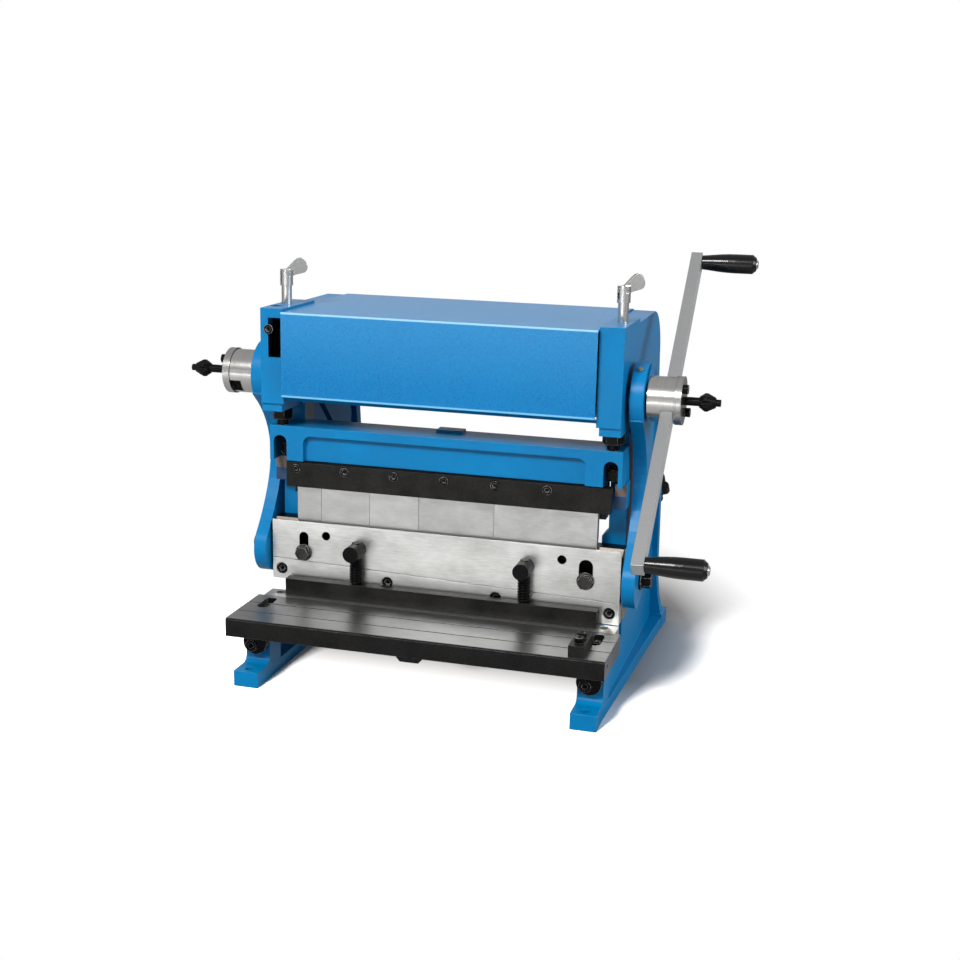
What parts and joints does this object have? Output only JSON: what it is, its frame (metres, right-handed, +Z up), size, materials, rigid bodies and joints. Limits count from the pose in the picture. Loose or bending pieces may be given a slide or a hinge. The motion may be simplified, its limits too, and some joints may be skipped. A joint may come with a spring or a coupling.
{
  "type": "sheet metal shear, brake and slip roll machine",
  "caption": "Hand-cranked bench machine for sheet metal: a shear with table below, a finger brake in the middle and slip rolls under a guard on top.",
  "frame": {"origin": "on the bench, midway between the four foot bolt holes", "axes": "+X to the machine's right along the rolls, +Y to its back, +Z up"},
  "size_m": [0.542, 0.3946, 0.4125],
  "materials": {
    "machine_paint": "smooth blue enamel",
    "guard_paint": "blue enamel with fine speckle",
    "ground_steel": "surface ground, fine horizontal lines",
    "bright_steel": "turned bright",
    "bar_steel": "dull zinc grey",
    "table_iron": "machined dark grey top, blackened edges",
    "black_steel": "black oxide, satin",
    "gear_steel": "machined grey",
    "bronze": "plain bronze",
    "plated_steel": "dull nickel plate",
    "washer_steel": "zinc plated",
    "grip_black": "glossy black",
    "knob_black": "matt black"
  },
  "bodies": {
    "frame": {"left_frame": "machine_paint", "right_frame": "machine_paint", "shaft_bushings": "bronze", "table_screws": "black_steel", "table_cams": "black_steel", "cam_screws": "black_steel", "finger_1": "ground_steel", "finger_2": "ground_steel", "finger_3": "ground_steel", "finger_4": "ground_steel", "finger_5": "ground_steel", "finger_clamp_bar": "black_steel", "clamp_bar_screws": "black_steel", "brake_beam": "machine_paint", "beam_bolts": "black_steel", "beam_jack_screws": "black_steel", "upper_roll_blocks": "black_steel", "rear_roll_blocks": "gear_steel", "roll_keeper_screw": "black_steel", "roll_guard": "guard_paint"},
    "table": {"table": "table_iron", "lower_blade": "ground_steel", "lower_blade_screws": "black_steel", "side_stop": "black_steel", "side_stop_screws": "black_steel"},
    "ram": {"ram": "ground_steel", "ram_gibs": "ground_steel", "v_die": "ground_steel", "die_bolts": "washer_steel", "upper_blade": "ground_steel", "upper_blade_screws": "black_steel", "hold_down_pins": "black_steel", "left_link_arm": "machine_paint", "right_link_arm": "machine_paint", "link_bolts": "black_steel", "grease_nipple": "bronze"},
    "hold_down": {"hold_down_bar": "black_steel", "hold_down_rods": "black_steel", "hold_down_springs": "black_steel"},
    "crank": {"crank_roll": "bright_steel", "eccentrics": "machine_paint", "drive_gear": "gear_steel", "end_hubs": "bright_steel", "hub_caps": "bright_steel", "hub_cap_screws": "black_steel", "handle_bar": "bar_steel", "grip_spindles": "bright_steel"},
    "upper_roll": {"upper_roll": "bright_steel", "driven_gear": "gear_steel"},
    "rear_roll": {"rear_roll": "bright_steel"},
    "left_clamp_knob": {"left_clamp_knob": "black_steel"},
    "right_clamp_knob": {"right_clamp_knob": "black_steel"},
    "upper_grip": {"upper_grip": "grip_black"},
    "lower_grip": {"lower_grip": "grip_black"},
    "left_wing_screw": {"left_wing_screw": "plated_steel"},
    "right_wing_screw": {"right_wing_screw": "plated_steel"},
    "left_wing_lever": {"left_wing_lever": "plated_steel"},
    "right_wing_lever": {"right_wing_lever": "plated_steel"},
    "left_rear_knob": {"left_rear_knob": "knob_black"},
    "right_rear_knob": {"right_rear_knob": "knob_black"}
  },
  "joints": [
    {"name": "crank_turn", "type": "hinge", "parent": "frame", "child": "crank", "pos_m": [0, -0.0545, 0.288], "axis": [1, 0, 0], "range_deg": [-57.3, 15.9]},
    {"name": "upper_roll_turn", "type": "hinge", "parent": "frame", "child": "upper_roll", "pos_m": [0, -0.0545, 0.327], "axis": [1, 0, 0], "range_deg": [-16, 57.4]},
    {"name": "ram_slide", "type": "slide", "parent": "frame", "child": "ram", "axis": [0, 0, 1], "range_m": [-0.01215, 0.00339]},
    {"name": "hold_down_slide", "type": "slide", "parent": "ram", "child": "hold_down", "axis": [0, 0, 1], "range_m": [-0.00339, 0.01215], "deforming": ["hold_down_springs"]},
    {"name": "table_slide", "type": "slide", "parent": "frame", "child": "table", "axis": [0, 1, 0], "range_m": [-0.003, 0]},
    {"name": "rear_roll_turn", "type": "hinge", "parent": "frame", "child": "rear_roll", "pos_m": [0, 0.002, 0.293], "axis": [1, 0, 0], "continuous": true},
    {"name": "left_clamp_turn", "type": "hinge", "parent": "crank", "child": "left_clamp_knob", "pos_m": [-0.245, -0.0545, 0.288], "axis": [-1, 0, 0], "continuous": true},
    {"name": "right_clamp_turn", "type": "hinge", "parent": "crank", "child": "right_clamp_knob", "pos_m": [0.245, -0.0545, 0.288], "axis": [1, 0, 0], "continuous": true},
    {"name": "upper_grip_turn", "type": "hinge", "parent": "crank", "child": "upper_grip", "pos_m": [0.219, 0.08485, 0.40288], "axis": [1, 0, 0], "continuous": true},
    {"name": "lower_grip_turn", "type": "hinge", "parent": "crank", "child": "lower_grip", "pos_m": [0.219, -0.19632, 0.17109], "axis": [1, 0, 0], "continuous": true},
    {"name": "left_wing_turn", "type": "hinge", "parent": "frame", "child": "left_wing_screw", "pos_m": [-0.166, -0.0545, 0.36], "axis": [0, 0, 1], "continuous": true},
    {"name": "right_wing_turn", "type": "hinge", "parent": "frame", "child": "right_wing_screw", "pos_m": [0.166, -0.0545, 0.36], "axis": [0, 0, 1], "continuous": true},
    {"name": "left_wing_tilt", "type": "hinge", "parent": "left_wing_screw", "child": "left_wing_lever", "pos_m": [-0.166, -0.0545, 0.3855], "axis": [0.6428, -0.766, 0], "range_deg": [-30, 30]},
    {"name": "right_wing_tilt", "type": "hinge", "parent": "right_wing_screw", "child": "right_wing_lever", "pos_m": [0.166, -0.0545, 0.3855], "axis": [0.6428, -0.766, 0], "range_deg": [-30, 30]},
    {"name": "left_rear_turn", "type": "hinge", "parent": "frame", "child": "left_rear_knob", "pos_m": [-0.169, 0.09392, 0.21587], "axis": [0, 0.766, -0.6428], "continuous": true},
    {"name": "right_rear_turn", "type": "hinge", "parent": "frame", "child": "right_rear_knob", "pos_m": [0.169, 0.09392, 0.21587], "axis": [0, 0.766, -0.6428], "continuous": true}
  ],
  "couplings": [
    {"joint": "upper_roll_turn", "follows": "crank_turn", "ratio": -1},
    {"joint": "ram_slide", "follows": "crank_turn", "m_per_rad": 0.01213},
    {"joint": "hold_down_slide", "follows": "crank_turn", "m_per_rad": -0.01213}
  ]
}
